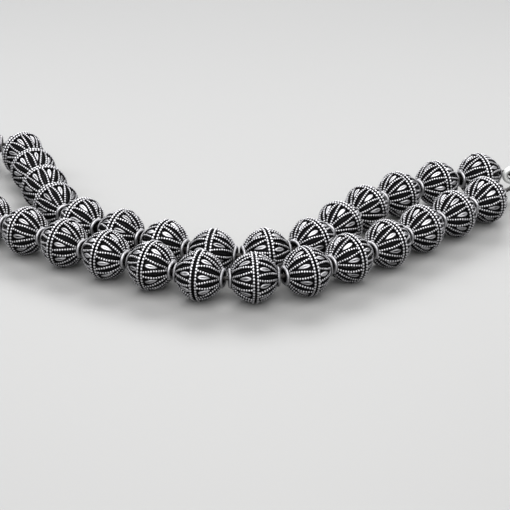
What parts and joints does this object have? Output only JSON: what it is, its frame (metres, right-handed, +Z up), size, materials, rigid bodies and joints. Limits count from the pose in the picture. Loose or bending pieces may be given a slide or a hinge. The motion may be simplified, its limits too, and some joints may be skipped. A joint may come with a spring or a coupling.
{
  "type": "prayer beads",
  "caption": "Closed string of round openwork silver beads on a dark thread, lying in a narrow loop, with a small smooth ring where the string closes.",
  "frame": {"origin": "on the surface that the beads lie on, under the middle of the whole string's box", "axes": "+X along the string's longest extent, towards its joining ring; +Y away from the nearest beads; +Z up"},
  "size_m": [0.1115, 0.0646, 0.0081],
  "materials": {
    "bead_silver": "oxidised sterling silver: bright granulated wires and bosses over blackened recesses",
    "ring_silver": "smooth polished silver",
    "thread": "twisted thread, nearly black"
  },
  "bodies": {
    "root": {"bead_01": "bead_silver", "bead_02": "bead_silver", "bead_03": "bead_silver", "bead_04": "bead_silver", "bead_05": "bead_silver", "bead_06": "bead_silver", "bead_07": "bead_silver", "bead_08": "bead_silver", "bead_09": "bead_silver", "bead_10": "bead_silver", "bead_11": "bead_silver", "bead_12": "bead_silver", "bead_13": "bead_silver", "bead_14": "bead_silver", "bead_15": "bead_silver", "bead_16": "bead_silver", "bead_17": "bead_silver", "bead_18": "bead_silver", "bead_19": "bead_silver", "bead_20": "bead_silver", "bead_21": "bead_silver", "bead_22": "bead_silver", "bead_23": "bead_silver", "bead_24": "bead_silver", "bead_25": "bead_silver", "bead_26": "bead_silver", "bead_27": "bead_silver", "bead_28": "bead_silver", "bead_29": "bead_silver", "bead_30": "bead_silver", "bead_31": "bead_silver", "bead_32": "bead_silver", "bead_33": "bead_silver", "thread": "thread", "joining_ring": "ring_silver"}
  },
  "joints": []
}
